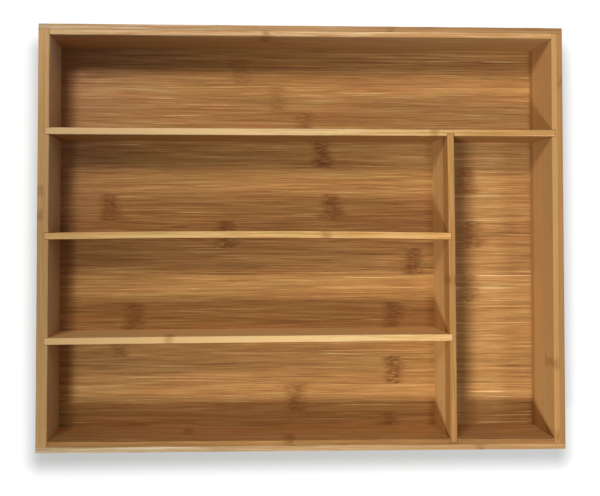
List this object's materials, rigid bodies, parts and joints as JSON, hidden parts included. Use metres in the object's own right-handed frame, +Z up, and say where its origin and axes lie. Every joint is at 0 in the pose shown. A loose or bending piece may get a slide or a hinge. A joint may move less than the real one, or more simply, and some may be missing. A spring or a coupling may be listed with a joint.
{
  "type": "cutlery tray",
  "caption": "Low open rectangular bamboo tray whose housed dividers sort cutlery lengthwise, with a full-width compartment at the back and an upright one at the right.",
  "frame": {"origin": "centre of the footprint, on the plane that the tray rests on", "axes": "+X to the right along the tray's width, +Y to the back where the full-width compartment is, +Z up"},
  "size_m": [0.3566, 0.287, 0.05],
  "materials": {
    "wall_outer_ply": "satin",
    "wall_inner_ply": "satin",
    "base_bamboo": "satin",
    "divider_bamboo": "satin"
  },
  "bodies": {
    "root": {"front_wall_outer_ply": "wall_outer_ply", "back_wall_outer_ply": "wall_outer_ply", "left_wall_outer_ply": "wall_outer_ply", "right_wall_outer_ply": "wall_outer_ply", "front_wall_inner_ply": "wall_inner_ply", "back_wall_inner_ply": "wall_inner_ply", "left_wall_inner_ply": "wall_inner_ply", "right_wall_inner_ply": "wall_inner_ply", "base_panel": "base_bamboo", "long_divider": "divider_bamboo", "cross_divider": "divider_bamboo", "short_divider_1": "divider_bamboo", "short_divider_2": "divider_bamboo"}
  },
  "joints": []
}
